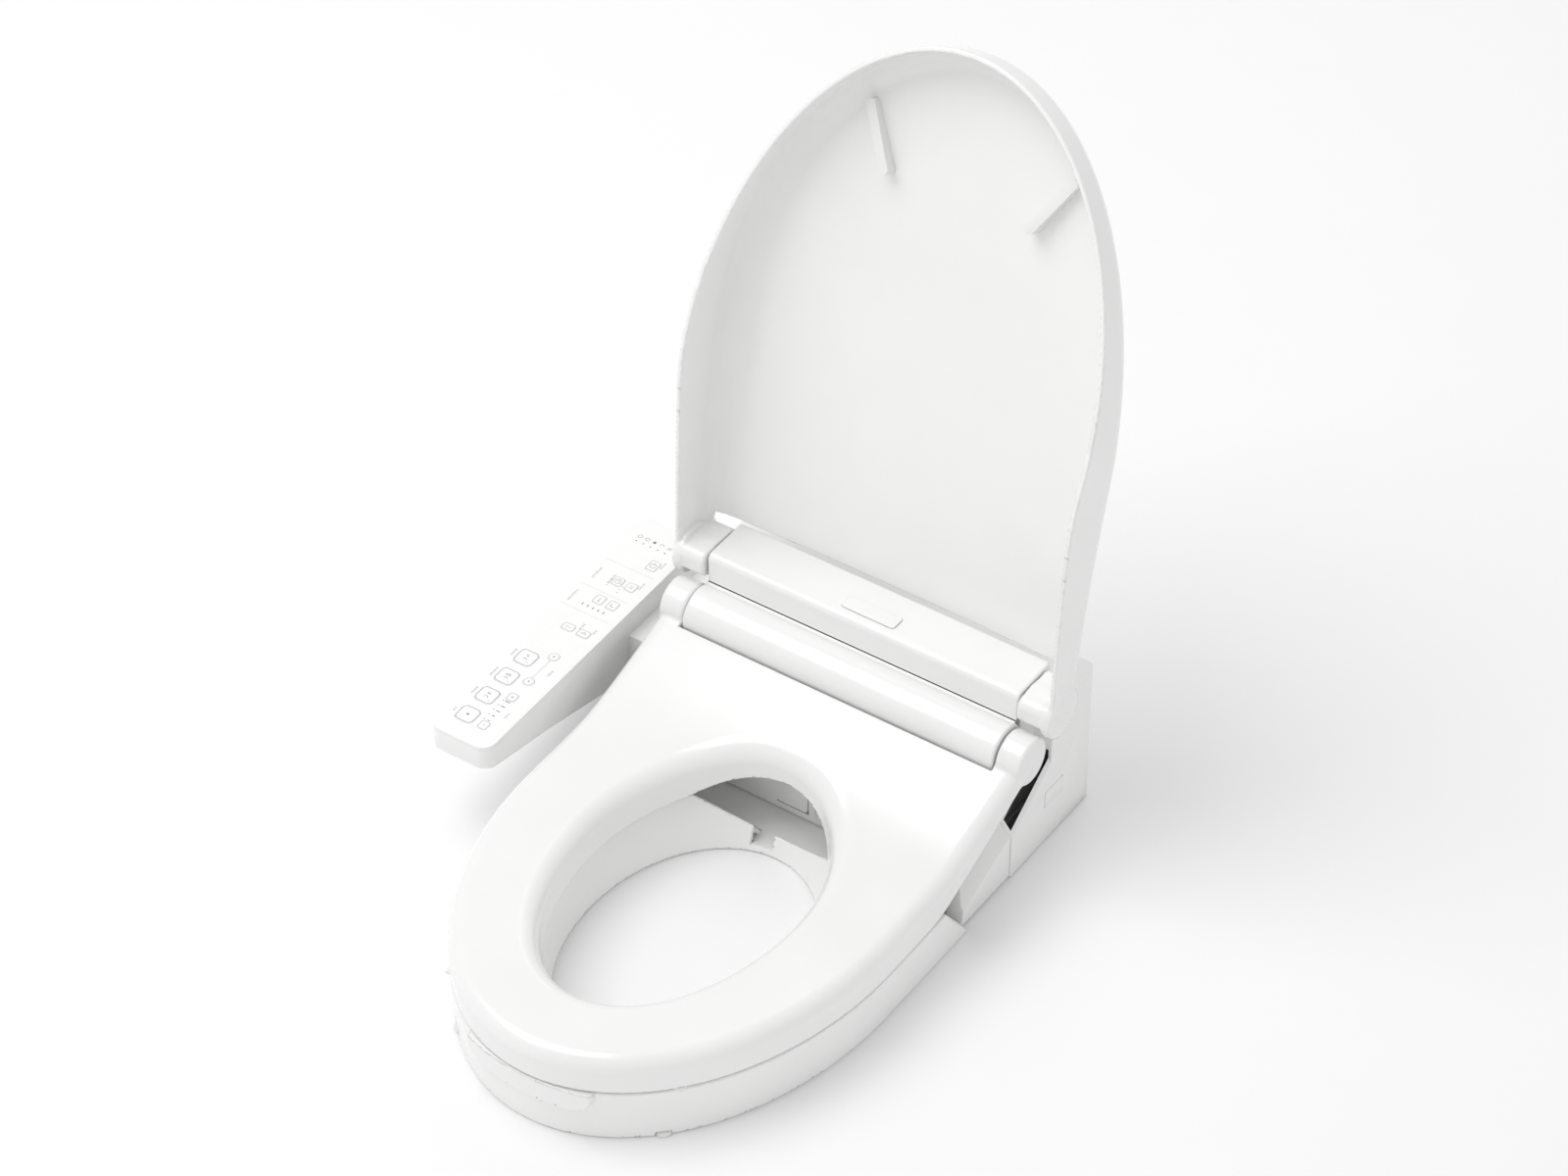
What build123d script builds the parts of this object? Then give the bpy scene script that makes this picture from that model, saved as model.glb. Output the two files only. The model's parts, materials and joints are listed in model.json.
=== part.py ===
"""Electric bidet seat on a riser ring: lid, heated seat, wash body and side control panel.

Units are millimetres. +X is the right-hand side seen from the front, +Y points to the wall
and +Z is up. The origin is midway between the two mounting bolt holes, on the bottom face.
"""

from build123d import *
import os
from math import cos, radians, sin, tan

os.makedirs("parts", exist_ok=True)

# ---- driving dimensions -------------------------------------------------------------------
BOLT_PITCH = 140.0
BOLT_HOLE_R = 5.5
WALL = 3.0

# plan of the ring and the seat: a half ellipse in front, nearly straight sides behind
PLAN_FRONT = -470.0
PLAN_MIDDLE = -225.0
PLAN_HALF = 173.0
RING_DRAFT = 4.0
RING_HEIGHT = 50.0
RING_END_TOP = -148.0
RING_END_FOOT = -114.0
LIP_HALF = 58.0
LIP_FOOT = 30.0
LIP_CORNER = 18.0
LIP_CURVE_HALF = 210.0
PLATE_THICK = 6.0
PLATE_REAR = 44.0
PLATE_HALF = 140.0

# seat
SEAT_UNDER = 52.0
SEAT_TOP = 84.0
SEAT_HINGE = (-27.0, 118.0)
SEAT_HUB_R = 21.0
SEAT_RISE_TOP = 18.8
SEAT_RISE_UNDER = 24.7
HOLE_HALF = 92.0
HOLE_FRONT = -397.0
HOLE_BACK = -118.0
HOLE_MIDDLE = -245.0
HOLE_FLARE = 11.0

# lid, drawn closed and then swung open
LID_HINGE = (4.0, 150.0)
LID_HALF = 183.0
LID_HINGE_HALF = 180.0
LID_FRONT = -484.0
LID_MIDDLE = -200.0
LID_WALL = 3.5
LID_SWING = 116.5
LID_BOSS_R = 13.0
LID_BLOCK_Y = (-17.0, 31.0)
LID_BLOCK_Z = (141.0, 165.0)
LID_BLOCK_CORNER = 8.0
EAR_R = 22.0

# body
BODY_HALF = 165.0
BODY_REAR = 76.0
BODY_TOP = 141.0
BODY_FRONT = -85.0
SKIRT_FOOT = 0.5
CORE_HALF = 148.0
COVER_BACK = 35.0
COVER_TOP = 166.0
ARM_SEAM = -42.0

# control panel arm
PANEL_LEFT = -256.0
PANEL_RIGHT = -197.0
PANEL_FRONT = -247.0
PANEL_BACK = 49.0
PANEL_Z = 104.0
PANEL_TILT = 1.5
PANEL_LID_THICK = 3.0
PANEL_CORNER = 12.0

# nozzle
NOZZLE_X = -15.0
NOZZLE_TILT = 14.0
NOZZLE_R = 6.5
NOZZLE_REST_Y = -30.0
NOZZLE_AT_DOOR_Z = 26.0
DOOR_HINGE = (-86.5, 43.0)
DOOR_HALF = 14.5
DOOR_FOOT = 15.0
PINION_R = 7.0
MOTOR_Z = 35.0

# fittings in the walls
INLET_R = 10.48
INLET_LENGTH = 20.1
GLAND_BORE_R = 4.5


def save(part, name):
    """Label a finished piece and write its STEP file."""
    part.label = name
    export_step(part, f"parts/{name}.step")


def swing(part, hinge, angle):
    """Turn a piece about a crosswise hinge line given by its (y, z)."""
    axis = Axis((0, hinge[0], hinge[1]), (1, 0, 0))
    return part.rotate(axis, angle)


def cross_plane(x):
    """Plane across the body at x, with local X along +Y and local Y along +Z."""
    return Plane(origin=(x, 0, 0), x_dir=(0, 1, 0), z_dir=(1, 0, 0))


def oval_plan(half, front, middle, rear, rear_half):
    """Closed plan face: half ellipse in front, straight sides and a straight rear edge."""
    with BuildSketch() as plan:
        with BuildLine():
            EllipticalCenterArc((0, middle), half, middle - front, 180, arc_size=180)
            Polyline((half, middle), (rear_half, rear), (-rear_half, rear), (-half, middle))
        make_face()
    return plan.sketch_local


def egg_plan(half, front, middle, back):
    """Closed egg-shaped face made of a front and a back half ellipse."""
    with BuildSketch() as plan:
        with BuildLine():
            EllipticalCenterArc((0, middle), half, middle - front, 180, arc_size=180)
            EllipticalCenterArc((0, middle), half, back - middle, 0, arc_size=180)
        make_face()
    return plan.sketch_local


def tube_x(hinge, radius, x_from, x_to):
    """Cylinder along X about a hinge line."""
    with BuildPart() as bar:
        with BuildSketch(cross_plane(x_from)):
            with Locations(hinge):
                Circle(radius)
        extrude(amount=x_to - x_from)
    return bar.part


def block(low, high, mode=Mode.ADD):
    """Add an axis-aligned block between two corners to the open part."""
    size = [b - a for a, b in zip(low, high)]
    with Locations(tuple((a + b) / 2 for a, b in zip(low, high))):
        Box(*size, mode=mode)


# ---- riser ring: the raised rim under the seat ----------------------------------------------
def ring_outline(z, grow):
    """Outer plan of the ring at height z, grown outwards by grow."""
    half = PLAN_HALF - RING_DRAFT * (1 - z / RING_HEIGHT) + grow
    front = PLAN_FRONT + RING_DRAFT * (1 - z / RING_HEIGHT) / 2 - grow
    return oval_plan(half, front, PLAN_MIDDLE, RING_END_FOOT, half - 5)


def ring_opening(z, grow):
    """Inner plan of the ring at height z, grown outwards by grow."""
    rise = z / RING_HEIGHT
    return egg_plan(90 + 14 * rise + grow, -384 - 20 * rise - grow, -255, -131 + 16 * rise + grow)


with BuildPart() as ring_hole:
    with BuildSketch(Plane.XY.offset(-5)):
        add(ring_opening(-5, 0))
    with BuildSketch(Plane.XY.offset(RING_HEIGHT + 5)):
        add(ring_opening(RING_HEIGHT + 5, 0))
    loft()

with BuildPart() as ring_core:
    with BuildSketch(Plane.XY.offset(-1)):
        add(ring_outline(-1, -WALL))
    with BuildSketch(Plane.XY.offset(RING_HEIGHT - WALL)):
        add(ring_outline(RING_HEIGHT - WALL, -WALL))
    loft()
    with BuildSketch(Plane.XY.offset(-5)) as core_low:
        add(ring_opening(-5, WALL))
    with BuildSketch(Plane.XY.offset(RING_HEIGHT + 5)) as core_high:
        add(ring_opening(RING_HEIGHT + 5, WALL))
    loft([core_low.sketch, core_high.sketch], mode=Mode.SUBTRACT)
    with BuildSketch(Plane.YZ):
        Polygon(
            (PLAN_FRONT - 10, -2), (PLAN_FRONT - 10, RING_HEIGHT), (RING_END_TOP - 5, RING_HEIGHT),
            (RING_END_FOOT - 9, 9), (RING_END_FOOT - 9, -2), align=None,
        )
    extrude(amount=PLAN_HALF + 10, both=True, mode=Mode.INTERSECT)
    with Locations((95, -420, 20), (-95, -420, 20), (138, -300, 20), (-138, -300, 20),
                   (134, -170, 20), (-134, -170, 20)):
        Cylinder(10, 80, mode=Mode.SUBTRACT)

# finger lip across the front of the ring, flush in the middle and proud at its ends
with BuildPart() as finger_lip:
    with BuildSketch(Plane.XY.offset(LIP_FOOT)):
        add(oval_plan(LIP_CURVE_HALF, PLAN_FRONT - 0.5, PLAN_MIDDLE, RING_END_TOP, LIP_CURVE_HALF))
    extrude(amount=RING_HEIGHT - LIP_FOOT)
    with BuildSketch(Plane.XZ.offset(-PLAN_FRONT - 80)):
        with Locations((0, LIP_FOOT + 30)):
            RectangleRounded(2 * LIP_HALF, 60, LIP_CORNER)
    extrude(amount=90, mode=Mode.INTERSECT)

with BuildPart() as riser_ring:
    with BuildSketch(Plane.XY):
        add(ring_outline(0, 0))
    with BuildSketch(Plane.XY.offset(RING_HEIGHT)):
        add(ring_outline(RING_HEIGHT, 0))
    loft()
    with BuildSketch(Plane.YZ):
        Polygon(
            (PLAN_FRONT - 10, -2), (PLAN_FRONT - 10, RING_HEIGHT + 1), (RING_END_TOP, RING_HEIGHT + 1),
            (RING_END_FOOT, PLATE_THICK), (RING_END_FOOT, -2), align=None,
        )
    extrude(amount=PLAN_HALF + 10, both=True, mode=Mode.INTERSECT)
    add(finger_lip.part)
    with Locations((0, (RING_END_FOOT - 30 + PLATE_REAR) / 2, PLATE_THICK / 2)):
        Box(2 * PLATE_HALF, PLATE_REAR - RING_END_FOOT + 30, PLATE_THICK)
    add(ring_hole.part, mode=Mode.SUBTRACT)
    add(ring_core.part, mode=Mode.SUBTRACT)
    block((NOZZLE_X - NOZZLE_R - 2.5, RING_END_TOP, PLATE_THICK),
          (NOZZLE_X + NOZZLE_R + 2.5, RING_END_FOOT + 4, RING_HEIGHT + 5), Mode.SUBTRACT)
    with Locations((BOLT_PITCH / 2, 0, 0), (-BOLT_PITCH / 2, 0, 0)):
        Hole(BOLT_HOLE_R)
    with Locations((95, -420, 1.5), (-95, -420, 1.5), (138, -300, 1.5), (-138, -300, 1.5),
                   (134, -170, 1.5), (-134, -170, 1.5)):
        Cylinder(7, 3, mode=Mode.SUBTRACT)
save(riser_ring.part, "riser_ring")

with BuildPart() as ring_pads:
    with Locations((95, -420, 1.5), (-95, -420, 1.5), (138, -300, 1.5), (-138, -300, 1.5),
                   (134, -170, 1.5), (-134, -170, 1.5)):
        Cylinder(6.9, 3)
save(ring_pads.part, "ring_pads")

with BuildPart() as base_plate:
    with Locations((0, -8, PLATE_THICK + 1.5)):
        Box(236, 96, 3)
    with Locations((0, 8, PLATE_THICK + 1.5)):
        Box(90, 30, 3, mode=Mode.SUBTRACT)
    with Locations((BOLT_PITCH / 2, 0, PLATE_THICK + 3), (-BOLT_PITCH / 2, 0, PLATE_THICK + 3)):
        Hole(BOLT_HOLE_R)
save(base_plate.part, "base_plate")


# ---- seat -----------------------------------------------------------------------------------
def seat_top_line(drop):
    """Side view of the sitting surface, lowered by drop: flat, then rising to the hinge."""
    z = SEAT_TOP - drop
    level = Line((PLAN_FRONT - 10, z), (-180, z))
    bend = JernArc(level @ 1, (1, 0), 200, SEAT_RISE_TOP)
    ramp_y = SEAT_HINGE[0] - (bend @ 1).X
    return Line(bend @ 1, ((bend @ 1).X + ramp_y, (bend @ 1).Y + ramp_y * tan(radians(SEAT_RISE_TOP))))


def seat_under_line(lift):
    """Side view of the seat's underside, raised by lift."""
    z = SEAT_UNDER + lift
    level = Line((PLAN_FRONT - 10, z), (-170, z))
    bend = JernArc(level @ 1, (1, 0), 60, SEAT_RISE_UNDER)
    ramp_y = SEAT_HINGE[0] - (bend @ 1).X
    return Line(bend @ 1, ((bend @ 1).X + ramp_y, (bend @ 1).Y + ramp_y * tan(radians(SEAT_RISE_UNDER))))


def seat_form(inset, under, top=None, thick=None):
    """Seat slab, inset from its outline and hole, between two side-view lines."""
    with BuildPart() as form:
        with BuildSketch(Plane.XY.offset(30)):
            add(oval_plan(PLAN_HALF - inset, PLAN_FRONT + inset, PLAN_MIDDLE, SEAT_HINGE[0],
                          PLAN_HALF - 1 - inset))
        extrude(amount=120)
        with BuildSketch(Plane.YZ):
            with BuildLine():
                low = seat_under_line(under)
                high = seat_top_line(top) if thick is None else seat_under_line(under + thick)
                Line(low @ 1, high @ 1)
                Line((PLAN_FRONT - 10, SEAT_UNDER + under),
                     (PLAN_FRONT - 10, SEAT_TOP - top if thick is None else SEAT_UNDER + under + thick))
            make_face()
        extrude(amount=200, both=True, mode=Mode.INTERSECT)
        with BuildSketch(Plane.XY.offset(40)) as low_hole:
            add(egg_plan(HOLE_HALF + inset, HOLE_FRONT - inset, HOLE_MIDDLE, HOLE_BACK + inset))
        with BuildSketch(Plane.XY.offset(130)) as high_hole:
            add(egg_plan(HOLE_HALF + HOLE_FLARE + inset, HOLE_FRONT - HOLE_FLARE - inset, HOLE_MIDDLE,
                         HOLE_BACK + HOLE_FLARE + inset))
        loft([low_hole.sketch, high_hole.sketch], mode=Mode.SUBTRACT)
        with Locations((0, -51.5 - inset + 20, 100)):
            Box(2 * (CORE_HALF + 1.5 + inset), 40, 200, mode=Mode.SUBTRACT)
    return form.part


seat_cavity = seat_form(WALL, -8, top=WALL)
with BuildPart() as seat_top:
    add(seat_form(0, 0, top=0))
    add(seat_cavity, mode=Mode.SUBTRACT)
    for side in (-1, 1):
        near, far = sorted((side * (CORE_HALF + 1.5), side * (PLAN_HALF - 1)))
        add(tube_x(SEAT_HINGE, SEAT_HUB_R, near, far))
        add(tube_x(SEAT_HINGE, 5.0, min(side * 140, side * 166), max(side * 140, side * 166)),
            mode=Mode.SUBTRACT)
save(seat_top.part, "seat_top")

with BuildPart() as seat_base:
    add(seat_form(WALL + 0.1, 0, thick=3.0))
    for side in (-1, 1):
        add(tube_x(SEAT_HINGE, SEAT_HUB_R + 0.1, min(side * 146, side * 176), max(side * 146, side * 176)),
            mode=Mode.SUBTRACT)
save(seat_base.part, "seat_base")

with BuildPart() as seat_heater:
    add(seat_form(8, -10, top=WALL + 0.1))
    add(seat_form(8, -10, top=WALL + 0.9), mode=Mode.SUBTRACT)
    split(bisect_by=Plane.XZ.offset(75), keep=Keep.TOP)
save(seat_heater.part, "seat_heater")

with BuildPart() as seat_bumpers:
    with Locations((105, -405, 51), (-105, -405, 51), (142, -200, 51), (-142, -200, 51)):
        Box(12, 26, 2)
save(seat_bumpers.part, "seat_bumpers")


# ---- lid: drawn closed over the seat, then swung open ------------------------------------------
LID_RIM = 53.0


def lid_profile(drop, lift, rear):
    """Side view of the closed lid between its rim raised by lift and its crown lowered by drop."""
    with BuildSketch(Plane.YZ) as side:
        with BuildLine():
            level = Line((LID_FRONT - 10, LID_RIM + lift), (-195, LID_RIM + lift))
            bend = JernArc(level @ 1, (1, 0), 120, 24)
            run = rear - (bend @ 1).X
            ramp = Line(bend @ 1, (rear, (bend @ 1).Y + run * tan(radians(24))))
            crown = Spline((LID_FRONT - 10, 97 - drop), (-300, 113 - drop), (-120, 150 - drop),
                           (rear, 189 - drop))
            Line(ramp @ 1, crown @ 1)
            Line(level @ 0, crown @ 0)
        make_face()
    return side.sketch


def lid_form(inset, drop, lift, rear):
    """Closed lid block, inset from its outline, with a softened top edge."""
    with BuildPart() as form:
        with BuildSketch(Plane.XY.offset(20)):
            add(oval_plan(LID_HALF - inset, LID_FRONT + inset, LID_MIDDLE, rear, LID_HINGE_HALF - inset))
        extrude(amount=200)
        extrude(lid_profile(drop, lift, rear + 5), amount=LID_HALF + 20, both=True, mode=Mode.INTERSECT)
        crown = form.faces().filter_by(lambda f: f.normal_at().Z > 0.7).sort_by(Axis.Z)[-1]
        fillet([e for e in crown.edges() if e.center().Y < rear - 2], 22 - inset)
    return form.part


with BuildPart() as lid_closed:
    add(lid_form(0, 0, 0, LID_HINGE[0]))
    for side in (-1, 1):
        x_in = side * (LID_HINGE_HALF - 8)
        x_out = side * LID_HINGE_HALF
        add(tube_x(LID_HINGE, EAR_R, min(x_in, x_out), max(x_in, x_out)))
    add(lid_form(LID_WALL, LID_WALL, -30, LID_HINGE[0] + 8), mode=Mode.SUBTRACT)
    block((-LID_HINGE_HALF + 9, -26, 155), (LID_HINGE_HALF - 9, 40, 260), Mode.SUBTRACT)
    for side in (-1, 1):
        x_in = side * (CORE_HALF + 2)
        x_out = side * (LID_HINGE_HALF - 3)
        add(tube_x(LID_HINGE, LID_BOSS_R, min(x_in, x_out), max(x_in, x_out)))
        add(tube_x(LID_HINGE, 5.0, min(side * 140, side * 170), max(side * 140, side * 170)),
            mode=Mode.SUBTRACT)
# the open lid, with the square block round each hinge boss that stands up beside the cover
with BuildPart() as lid_shell:
    add(swing(lid_closed.part, LID_HINGE, -LID_SWING))
    for side in (-1, 1):
        near, far = sorted((side * (CORE_HALF + 2), side * (LID_HINGE_HALF - 3)))
        with BuildSketch(cross_plane(near)):
            with Locations(((LID_BLOCK_Y[0] + LID_BLOCK_Y[1]) / 2, (LID_BLOCK_Z[0] + LID_BLOCK_Z[1]) / 2)):
                RectangleRounded(LID_BLOCK_Y[1] - LID_BLOCK_Y[0], LID_BLOCK_Z[1] - LID_BLOCK_Z[0],
                                 LID_BLOCK_CORNER)
        extrude(amount=far - near)
        add(tube_x(LID_HINGE, 5.0, min(side * 140, side * 170), max(side * 140, side * 170)),
            mode=Mode.SUBTRACT)
save(lid_shell.part, "lid_shell")

with BuildPart() as lid_buffers:
    for side in (-1, 1):
        with BuildSketch(Plane.XY.offset(86)):
            with Locations((side * 79, -388)):
                SlotOverall(60, 8, rotation=side * -61)
        extrude(amount=14)
    add(lid_form(LID_WALL + 0.1, LID_WALL + 0.1, -30, LID_HINGE[0] + 8), mode=Mode.INTERSECT)
save(swing(lid_buffers.part, LID_HINGE, -LID_SWING), "lid_buffers")

with BuildPart() as lid_pins:
    for side in (-1, 1):
        add(tube_x(LID_HINGE, 5.0, min(side * 137.9, side * 170), max(side * 137.9, side * 170)))
save(lid_pins.part, "lid_pins")

with BuildPart() as seat_pins:
    for side in (-1, 1):
        add(tube_x(SEAT_HINGE, 5.0, min(side * 137.9, side * 166), max(side * 137.9, side * 166)))
save(seat_pins.part, "seat_pins")


# ---- wash body ----------------------------------------------------------------------------------
CORE_SIDE = [(BODY_FRONT, 7), (BODY_FRONT, 78), (-50, 93), (-40, 99), (-8, 111), (-8, BODY_TOP),
             (BODY_REAR, BODY_TOP), (BODY_REAR, 7)]
FLANK_SIDE = [(ARM_SEAM, SKIRT_FOOT), (ARM_SEAM, 58), (14, 98), (14, 126), (32, 126), (32, BODY_TOP),
              (BODY_REAR, BODY_TOP), (BODY_REAR, SKIRT_FOOT)]


def side_block(points, half, inset=0.0):
    """Block of the given side view, inset all round, reaching half to each side."""
    with BuildPart() as solid:
        with BuildSketch(Plane.YZ):
            Polygon(*points, align=None)
            if inset:
                offset(amount=-inset, kind=Kind.INTERSECTION, mode=Mode.REPLACE)
        extrude(amount=half, both=True)
    return solid.part


with BuildPart() as flanks:
    add(side_block(FLANK_SIDE, BODY_HALF))
    ridge = flanks.edges().filter_by(lambda e: abs(e.center().X) > BODY_HALF - 1 and 60 < e.center().Z < 90
                                     and -40 < e.center().Y < 10)
    chamfer(ridge, 13)
    corners = flanks.edges().filter_by(Axis.Z).group_by(Axis.Y)[-1]
    fillet(corners, 5)
    for side in (-1, 1):
        near, far = sorted((side * CORE_HALF, side * (BODY_HALF + 2)))
        add(tube_x(SEAT_HINGE, SEAT_HUB_R + 2.5, near, far), mode=Mode.SUBTRACT)
        add(tube_x(LID_HINGE, LID_BOSS_R + 2.5, near, far), mode=Mode.SUBTRACT)

with BuildPart() as body_cavity:
    add(side_block(CORE_SIDE, CORE_HALF - WALL, WALL))
    add(side_block(FLANK_SIDE, BODY_HALF - WALL, WALL))
    block((-CORE_HALF + WALL, BODY_FRONT + WALL, -5), (CORE_HALF - WALL, BODY_REAR - WALL, 14))
    block((-BODY_HALF + WALL, ARM_SEAM + WALL, -5), (BODY_HALF - WALL, BODY_REAR - WALL, 14))
    for side in (-1, 1):
        near, far = sorted((side * (CORE_HALF - WALL), side * (BODY_HALF + 2)))
        add(tube_x(SEAT_HINGE, SEAT_HUB_R + 5, near, far), mode=Mode.SUBTRACT)
        add(tube_x(LID_HINGE, LID_BOSS_R + 5, near, far), mode=Mode.SUBTRACT)

NOZZLE_DOORWAY = (NOZZLE_X - DOOR_HALF - 0.5, NOZZLE_X + DOOR_HALF + 0.5)
VENT_LEFT, VENT_RIGHT = 6.0, 40.0
RELEASE_AT = (20, 46)
INLET_AT = (61, 34)
DRAIN_AT = (62, 62)
GLAND_AT = (118, 40)

with BuildPart() as main_case:
    add(side_block(CORE_SIDE, CORE_HALF))
    add(flanks.part)
    add(body_cavity.part, mode=Mode.SUBTRACT)
    block((NOZZLE_DOORWAY[0], BODY_FRONT - 2, 13), (NOZZLE_DOORWAY[1], BODY_FRONT + 5, 45), Mode.SUBTRACT)
    block((VENT_LEFT, BODY_FRONT - 2, 16), (VENT_RIGHT, BODY_FRONT + 5, 40), Mode.SUBTRACT)
    block((BODY_HALF - 6, RELEASE_AT[0] - 13.4, RELEASE_AT[1] - 8.4),
          (BODY_HALF + 5, RELEASE_AT[0] + 13.4, RELEASE_AT[1] + 8.4), Mode.SUBTRACT)
    with Locations(Location((-BODY_HALF, *INLET_AT), (0, 90, 0))):
        Cylinder(11.7, 20, mode=Mode.SUBTRACT)
    with Locations(Location((-BODY_HALF, *DRAIN_AT), (0, 90, 0))):
        Cylinder(9.3, 20, mode=Mode.SUBTRACT)
    with Locations(Location((GLAND_AT[0], BODY_REAR, GLAND_AT[1]), (90, 0, 0))):
        Cylinder(7.3, 20, mode=Mode.SUBTRACT)
    with Locations((-125, 5, 118), (-125, 61, 118), (-35, 5, 118), (-35, 61, 118)):
        Cylinder(3, 40.6)
save(main_case.part, "main_case")

with BuildPart() as lower_case:
    block((-CORE_HALF + WALL + 0.3, BODY_FRONT + WALL + 0.3, 10),
          (CORE_HALF - WALL - 0.3, BODY_REAR - WALL - 0.3, 13))
    block((-CORE_HALF + 8, -55, 13), (-CORE_HALF + 11, 60, 20))
    block((CORE_HALF - 11, -55, 13), (CORE_HALF - 8, 60, 20))
    for x, y in ((-120, -66), (120, -66), (-120, 62), (120, 62)):
        with Locations((x, y, 17)):
            Cylinder(4.5, 8)
            Cylinder(1.6, 20, mode=Mode.SUBTRACT)
save(lower_case.part, "lower_case")

with BuildPart() as case_screws:
    for x, y in ((-120, -66), (120, -66), (-120, 62), (120, 62)):
        with BuildSketch(Plane.XY.offset(7.4)):
            with Locations((x, y)):
                Circle(3.2)
        extrude(amount=2.5)
        with BuildSketch(Plane.XY.offset(9.5)):
            with Locations((x, y)):
                Circle(1.5)
        extrude(amount=9)
save(case_screws.part, "case_screws")

# front arm covers, one each side, between the body's flank and the end of the ring
ARM_SIDE = [(ARM_SEAM - 0.4, SKIRT_FOOT + 1.5), (ARM_SEAM - 0.4, 57), (-100, 32), (-109, 20),
            (RING_END_FOOT + 2, SKIRT_FOOT + 1.5)]
for side, name in ((-1, "arm_cover_left"), (1, "arm_cover_right")):
    with BuildPart() as arm_cover:
        with BuildSketch(cross_plane(min(side * (CORE_HALF + 0.5), side * (BODY_HALF - 0.7)))):
            Polygon(*ARM_SIDE, align=None)
        extrude(amount=BODY_HALF - CORE_HALF - 1.2)
        outer = arm_cover.edges().filter_by(
            lambda e: abs(e.center().X) > BODY_HALF - 2 and 34 < e.center().Z < 56
            and e.center().Y < ARM_SEAM - 5)
        chamfer(outer, 11)
        with BuildSketch(cross_plane(min(side * (CORE_HALF + 3), side * (BODY_HALF - 3.2)))):
            Polygon(*ARM_SIDE, align=None)
            offset(amount=-9, kind=Kind.INTERSECTION, mode=Mode.REPLACE)
        extrude(amount=BODY_HALF - CORE_HALF - 6.2, mode=Mode.SUBTRACT)
    save(arm_cover.part, name)

# hinge cover: a flat bump behind, then a roll round the seat's hinge line
with BuildPart() as hinge_cover:
    with BuildSketch(cross_plane(-CORE_HALF)) as cover_side:
        with BuildLine():
            Polyline((COVER_BACK, BODY_TOP + 0.1), (COVER_BACK, COVER_TOP - 3), (COVER_BACK - 3, COVER_TOP),
                     (-6, COVER_TOP))
            ThreePointArc((-6, COVER_TOP), (-11, 163.6), (-13, 158))
            Polyline((-13, 158), (-13.6, 148), (-17.5, 138.4))
            ThreePointArc((-17.5, 138.4), (-42.9, 133.9), (-48.1, 110.3))
            Polyline((-48.1, 110.3), (-39.5, 99.8), (-8.1, 111.6), (-8.1, BODY_TOP + 0.1),
                     (COVER_BACK, BODY_TOP + 0.1))
        make_face()
    extrude(amount=2 * CORE_HALF)
    with BuildSketch(cross_plane(-CORE_HALF + WALL)):
        add(cover_side.sketch_local)
        offset(amount=-2.5, kind=Kind.INTERSECTION, mode=Mode.REPLACE)
        Polygon((-37.5, 97), (-37.5, 104.5), (-12, 115), (-12, 140), (-10, 145), (COVER_BACK - 2.5, 145),
                (COVER_BACK - 2.5, 138), (-4, 138), (-4, 105), align=None)
    extrude(amount=2 * (CORE_HALF - WALL), mode=Mode.SUBTRACT)
    for side in (-1, 1):
        near, far = sorted((side * (CORE_HALF - 6), side * (CORE_HALF + 2)))
        add(tube_x(SEAT_HINGE, 6.0, near, far), mode=Mode.SUBTRACT)
        add(tube_x(LID_HINGE, 6.0, near, far), mode=Mode.SUBTRACT)
save(hinge_cover.part, "hinge_cover")

with BuildPart() as brand_plate:
    with BuildSketch(Plane.XY.offset(COVER_TOP)):
        with Locations((0, 4)):
            RectangleRounded(50, 15, 3)
    extrude(amount=0.8)
save(brand_plate.part, "brand_plate")

# hinge brackets under the cover hold both hinge lines
BRACKET_SIDE = [(-35, 102.2), (-9, 112), (-9, BODY_TOP + 0.5), (28, BODY_TOP + 0.5), (28, 160.5), (-8, 160.5),
                (-9, 147), (-16, 133), (-27, 136), (-38, 131), (-43, 122), (-43, 112), (-39, 105.5)]
for side, name in ((-1, "hinge_bracket_left"), (1, "hinge_bracket_right")):
    near, far = sorted((side * 139, side * 144.5))
    with BuildPart() as bracket:
        with BuildSketch(cross_plane(near)):
            Polygon(*BRACKET_SIDE, align=None)
            with Locations(SEAT_HINGE, LID_HINGE):
                Circle(5.05, mode=Mode.SUBTRACT)
        extrude(amount=far - near)
    save(bracket.part, name)

save(tube_x(LID_HINGE, 8.0, 70, 137.5), "lid_damper")
save(tube_x(SEAT_HINGE, 8.5, -137.5, -70), "seat_damper")


# ---- control panel arm ------------------------------------------------------------------------------
def panel_z(y, drop=0.0):
    """Height of the tilted panel face at y, lowered by drop."""
    return PANEL_Z + (y - PANEL_FRONT) * tan(radians(PANEL_TILT)) - drop


def panel_slab(inset, top_drop, low_drop):
    """Slice of the panel between two depths below its face, with rounded plan corners."""
    with BuildPart() as slab:
        with BuildSketch(Plane.XY.offset(20)):
            with Locations(((PANEL_LEFT + PANEL_RIGHT) / 2, (PANEL_FRONT + PANEL_BACK) / 2)):
                RectangleRounded(PANEL_RIGHT - PANEL_LEFT - 2 * inset,
                                 PANEL_BACK - PANEL_FRONT - 2 * inset, PANEL_CORNER - inset)
        extrude(amount=120)
        with BuildSketch(Plane.YZ):
            front, back = PANEL_FRONT - 5, PANEL_BACK + 5
            Polygon((front, panel_z(front, top_drop)), (back, panel_z(back, top_drop)),
                    (back, panel_z(back, low_drop)), (front, panel_z(front, low_drop)), align=None)
        extrude(amount=300, both=True, mode=Mode.INTERSECT)
    return slab.part


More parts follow.
